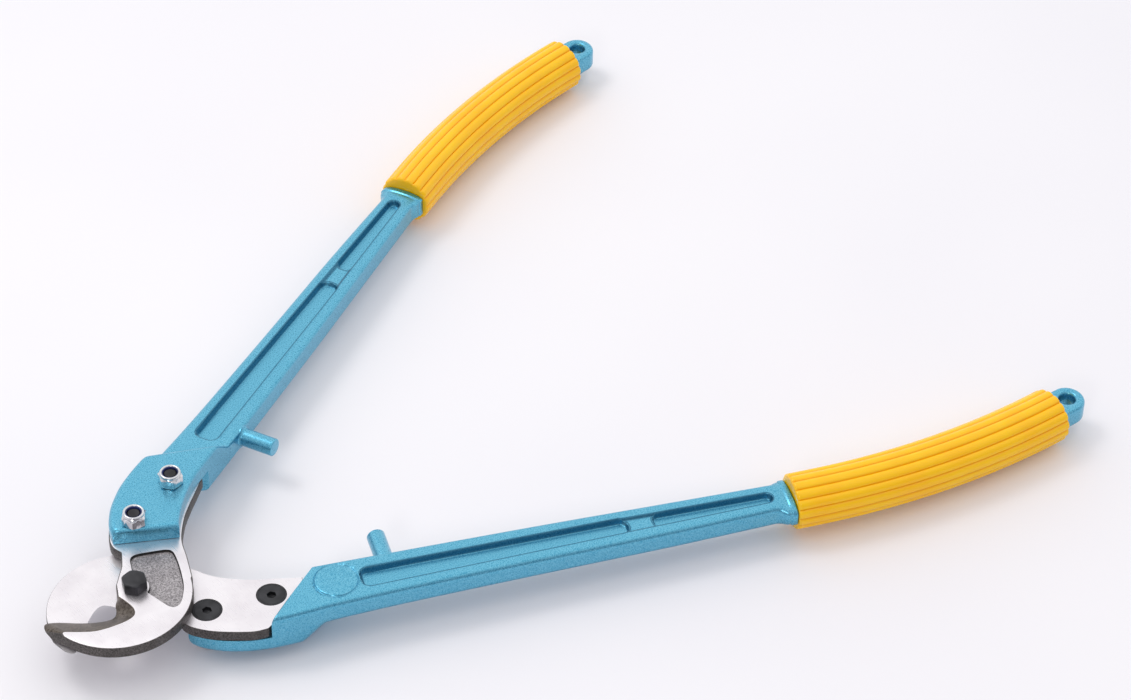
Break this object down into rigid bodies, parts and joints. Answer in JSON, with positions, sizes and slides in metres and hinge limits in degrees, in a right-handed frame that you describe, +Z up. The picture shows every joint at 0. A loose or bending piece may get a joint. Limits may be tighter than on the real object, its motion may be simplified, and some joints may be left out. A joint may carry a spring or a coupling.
{
  "type": "cable cutter",
  "caption": "Long-handled cable cutter with bolted hook blades on a pivot bolt, painted cast handles, ribbed grips, stop pegs and hanging eyes.",
  "frame": {"origin": "under the centre of the bounding box, on the surface that the tool lies on", "axes": "+X from the jaws to the handles, +Y to the side of the upper half's handle, +Z up along the pivot bolt"},
  "size_m": [0.5792, 0.477, 0.0516],
  "materials": {
    "handle_paint": "satin metallic sky-blue paint on a cast aluminium handle",
    "grip_pvc": "glossy yellow moulded PVC",
    "ground_steel": "forged tool steel with ground faces",
    "black_oxide": "black oxide on steel",
    "zinc_plate": "bright zinc plate on steel",
    "nylon": "dark blue nylon"
  },
  "bodies": {
    "lower_half": {"lower_blade": "ground_steel", "lower_handle": "handle_paint", "lower_grip": "grip_pvc", "lower_stop_peg": "handle_paint", "lower_front_screw": "black_oxide", "lower_front_nut": "zinc_plate", "lower_front_nut_ring": "nylon", "lower_rear_screw": "black_oxide", "lower_rear_nut": "zinc_plate", "lower_rear_nut_ring": "nylon", "pivot_bolt": "black_oxide", "pivot_washer": "zinc_plate", "pivot_nut": "zinc_plate", "pivot_nut_ring": "nylon"},
    "upper_half": {"upper_blade": "ground_steel", "upper_handle": "handle_paint", "upper_grip": "grip_pvc", "upper_stop_peg": "handle_paint", "upper_front_screw": "black_oxide", "upper_front_nut": "zinc_plate", "upper_front_nut_ring": "nylon", "upper_rear_screw": "black_oxide", "upper_rear_nut": "zinc_plate", "upper_rear_nut_ring": "nylon"}
  },
  "joints": [
    {"name": "pivot", "type": "hinge", "parent": "lower_half", "child": "upper_half", "pos_m": [-0.23479, 0, 0.0258], "axis": [0, 0, 1], "range_deg": [-38.8, 58]}
  ]
}
